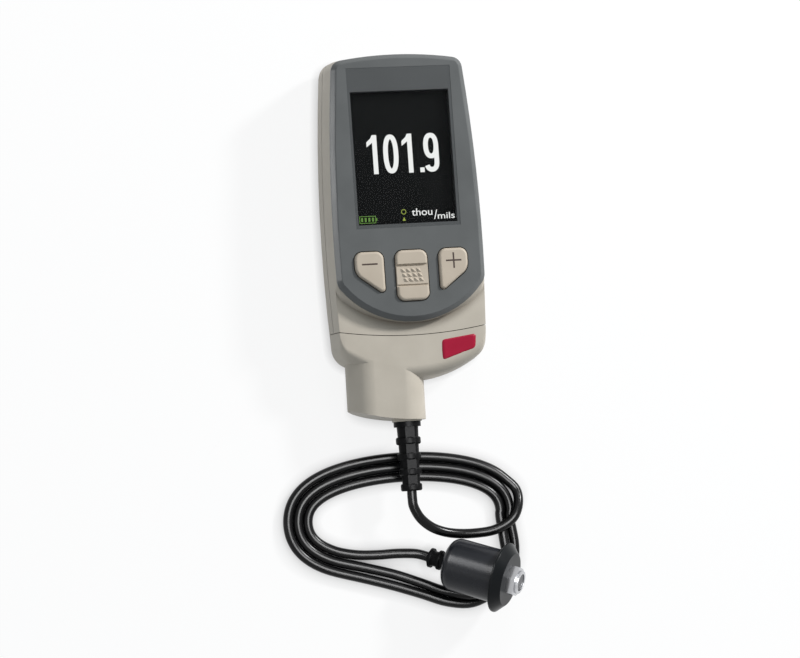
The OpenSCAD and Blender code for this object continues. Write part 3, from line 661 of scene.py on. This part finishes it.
ring_x, ring_y = -0.9, 8.0
ring_inner, ring_outer = 0.75, 1.0
ring_steps = 20
ring = []
for i in range(ring_steps):
    a, b = (math.tau * (i + k) / ring_steps for k in (0, 1))
    corners = ((ring_inner, a), (ring_outer, a), (ring_outer, b), (ring_inner, b))
    ring.append([(ring_x + r * math.cos(t), ring_y + r * math.sin(t)) for r, t in corners])
lit_sign("probe_sign_ring", ring, lit_yellow)
ring_tip = [(-1.5, 4.6), (-0.3, 4.6), (-0.9, 6.1)]
lit_sign("probe_sign_tip", [ring_tip], lit_yellow)

# Keys: three beige keys moulded apart from the housing, each with a flange below the bezel.
# The side keys carry a minus and a plus, let in as thin dark strokes.
key_beige = moulding(
    "key_beige", paint(186, 174, 158), paint(179, 167, 151),
    roughness=0.5, grain=0.25, depth=0.012, gloss=0.3,
)
dress("button_minus", "minus_key", "key_minus", key_beige, edge=0.12)
dress("button_centre", "centre_key", "key_centre", key_beige, edge=0.06)
dress("button_plus", "plus_key", "key_plus", key_beige, edge=0.12)
stroke_brown = moulding(
    "stroke_brown", paint(62, 46, 38), paint(50, 36, 30), roughness=0.6, grain=0.2, depth=0.004,
)
key_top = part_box("button_plus")[1][2] + 0.02 * mm
sign_x, sign_y, sign_reach, sign_half = 16.2, -11.8, 3.0, 0.31
sign_low, sign_high = sign_y - sign_half, sign_y + sign_half
minus_bar = bar(-sign_x - sign_reach, sign_low, -sign_x + sign_reach, sign_high)
plus_bars = [
    bar(sign_x - sign_reach, sign_low, sign_x + sign_reach, sign_high),
    bar(sign_x - sign_half, sign_high, sign_x + sign_half, sign_y + sign_reach),
    bar(sign_x - sign_half, sign_y - sign_reach, sign_x + sign_half, sign_low),
]
flat_piece("minus_stroke", [minus_bar], key_top, stroke_brown, "key_minus")
flat_piece("plus_stroke", plus_bars, key_top, stroke_brown, "key_plus")

# Probe module: one beige moulding that carries on the gauge's outline and ends in the nozzle.
# An end plate closes it towards the gauge, and a plain red label is stuck on its face.
module_shell = dress(
    "module_housing", "module_shell", "probe_module", housing_beige, edge=0.15
)
dress("module_end_plate", "end_plate", "probe_module", housing_beige, edge=0.1)
label_corners = [(10.7, -49.1), (23.8, -45.0), (24.3, -39.6), (10.8, -41.3)]
label_round = 1.3
label_steps = 5
label_shares = (1.0, 0.985, 0.8, 0.6, 0.4, 0.2)
label_tuck, label_lift = -0.04, 0.09
above_module = 0.1
module_tree = BVHTree.FromObject(module_shell, bpy.context.evaluated_depsgraph_get())


def on_module(x, y, lift):
    """Point on the module's face above x and y."""
    down = Vector((0, 0, -1))
    hit = module_tree.ray_cast(Vector((x * mm, y * mm, above_module)), down)[0]
    return hit + Vector((0, 0, lift * mm))


def rounded_outline(corners, radius, steps):
    """Outline with each corner turned by a curve that starts radius away from it."""
    outline = []
    for i, corner in enumerate(corners):
        corner = Vector(corner)
        before = (Vector(corners[i - 1]) - corner).normalized() * radius
        after = (Vector(corners[(i + 1) % len(corners)]) - corner).normalized() * radius
        for step in range(steps + 1):
            t = step / steps
            outline.append(corner + before * (1 - t) ** 2 + after * t ** 2)
    return outline


label_form = bmesh.new()
label_outline = rounded_outline(label_corners, label_round, label_steps)
label_middle = sum(label_outline, Vector((0, 0))) / len(label_outline)
label_rings = []
for share in label_shares:
    lift = label_tuck if share == 1.0 else label_lift
    ring_points = [label_middle + (p - label_middle) * share for p in label_outline]
    label_rings.append([label_form.verts.new(on_module(p.x, p.y, lift)) for p in ring_points])
for outer, inner in zip(label_rings, label_rings[1:]):
    for i in range(len(outer)):
        k = (i + 1) % len(outer)
        label_form.faces.new((outer[i], outer[k], inner[k], inner[i]))
label_form.faces.new(label_rings[-1])
for face in label_form.faces:
    face.smooth = True
label_mesh = bpy.data.meshes.new("module_label")
label_form.to_mesh(label_mesh)
label_form.free()
module_label = bpy.data.objects.new("module_label", label_mesh)
scene.collection.objects.link(module_label)
label_red = moulding(
    "label_red", paint(166, 24, 56), paint(156, 20, 50),
    roughness=0.35, grain=0.4, depth=0.004, gloss=0.2,
)
label_mesh.materials.append(label_red)
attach(module_label, "probe_module")

# Boot on the nozzle and relief on the probe: soft black rubber mouldings round the lead, cut
# into rings so that they bend with it.
boot_black = moulding(
    "boot_black", paint(18, 18, 19), paint(13, 13, 14),
    roughness=0.4, grain=0.3, depth=0.01, gloss=0.06,
)
lead_boot = dress(
    "cable_boot", "lead_boot", "probe_module", boot_black, edge=0.2
)
lead_relief = dress(
    "probe_boot", "lead_relief", "probe_module", boot_black, edge=0.15
)
black_shine.objects.link(lead_boot)
black_shine.objects.link(lead_relief)

# Probe: a turned black barrel with a bevelled flange, held by a bright nut round the
# transducer's case. The case holds a ground wear face with the crystal behind it.
barrel_black = moulding(
    "barrel_black", paint(31, 33, 38), paint(25, 27, 32),
    roughness=0.26, grain=0.25, depth=0.006, gloss=0.25,
)
flange_black = moulding(
    "flange_black", paint(19, 22, 24), paint(14, 17, 19),
    roughness=0.3, grain=0.25, depth=0.006, gloss=0.12,
)
probe_barrel = dress(
    "probe_body", "probe_barrel", "probe_module", barrel_black, edge=0.25
)
probe_flange = dress(
    "probe_collar", "probe_flange", "probe_module", flange_black, edge=0.15
)
lathe_mark = 0.25
lathe_depth = 0.01
mark_share = 0.85
dulled_by = 0.07


def turned_metal(name, colour, roughness):
    """Bright metal with fine marks from the lathe."""
    material = bpy.data.materials.new(name)
    material.use_nodes = True
    tree = material.node_tree
    shader = tree.nodes["Principled BSDF"]
    shader.inputs["Metallic"].default_value = 1.0
    place = tree.nodes.new("ShaderNodeTexCoord")
    marks = tree.nodes.new("ShaderNodeTexNoise")
    marks.inputs["Scale"].default_value = 1 / (lathe_mark * mm)
    marks.inputs["Detail"].default_value = 5
    tree.links.new(place.outputs["Object"], marks.inputs["Vector"])
    drift = tree.nodes.new("ShaderNodeValToRGB")
    drift.color_ramp.elements[0].color = (*[mark_share * c for c in colour[:3]], 1)
    drift.color_ramp.elements[1].color = colour
    tree.links.new(marks.outputs["Fac"], drift.inputs["Fac"])
    tree.links.new(drift.outputs["Color"], shader.inputs["Base Color"])
    dull = tree.nodes.new("ShaderNodeMapRange")
    dull.inputs["To Min"].default_value = roughness - dulled_by
    dull.inputs["To Max"].default_value = roughness + dulled_by
    tree.links.new(marks.outputs["Fac"], dull.inputs["Value"])
    tree.links.new(dull.outputs["Result"], shader.inputs["Roughness"])
    relief = tree.nodes.new("ShaderNodeBump")
    relief.inputs["Strength"].default_value = 0.2
    relief.inputs["Distance"].default_value = lathe_depth * mm
    tree.links.new(marks.outputs["Fac"], relief.inputs["Height"])
    tree.links.new(relief.outputs["Normal"], shader.inputs["Normal"])
    return material


bright_metal = turned_metal("bright_metal", paint(200, 201, 204), roughness=0.2)
face_nut = dress("probe_nut", "face_nut", "probe_module", bright_metal, edge=0.12)
case_sleeve = dress(
    "transducer_case", "case_sleeve", "probe_module", bright_metal, edge=0.1
)
face_grey = moulding(
    "face_grey", paint(66, 67, 70), paint(56, 57, 60),
    roughness=0.35, grain=0.2, depth=0.006, cloud=2,
)
wear_disc = dress("wear_face", "wear_disc", "probe_module", face_grey, edge=0.1)
for piece in (probe_barrel, face_nut, case_sleeve):
    black_shine.objects.link(piece)
    probe_shine.objects.link(piece)
probe_shine.objects.link(probe_flange)

# Inside: a green board with its switches, sounder and socket, three wrapped cells between
# their steel contacts, and the screws. They show when the module or the cover is off.
board_green = moulding(
    "board_green", paint(36, 92, 62), paint(28, 76, 50),
    roughness=0.45, grain=0.6, depth=0.01, cloud=3,
)
inner_dark = moulding(
    "inner_dark", paint(40, 40, 42), paint(32, 32, 34), roughness=0.5, grain=0.3, depth=0.01,
)
frame_white = moulding(
    "frame_white", paint(222, 221, 216), paint(212, 211, 206),
    roughness=0.5, grain=0.3, depth=0.01,
)
cell_wrap = moulding(
    "cell_wrap", paint(150, 108, 52), paint(136, 96, 44), roughness=0.3, grain=0.5, depth=0.006,
)
plain_steel = turned_metal("plain_steel", paint(180, 182, 185), roughness=0.32)
inside = {
    "main_board": board_green, "module_board": board_green, "lcd_frame": frame_white,
    "key_switches": inner_dark, "sounder": inner_dark, "connector_socket": inner_dark,
    "connector_plug": inner_dark, "contact_plates": plain_steel, "contact_springs": plain_steel,
    "housing_screws": plain_steel, "battery_cell_1": cell_wrap, "battery_cell_2": cell_wrap,
    "battery_cell_3": cell_wrap, "transducer_crystal": face_grey,
}
for node, material in inside.items():
    nodes[node].data.materials.clear()
    nodes[node].data.materials.append(material)
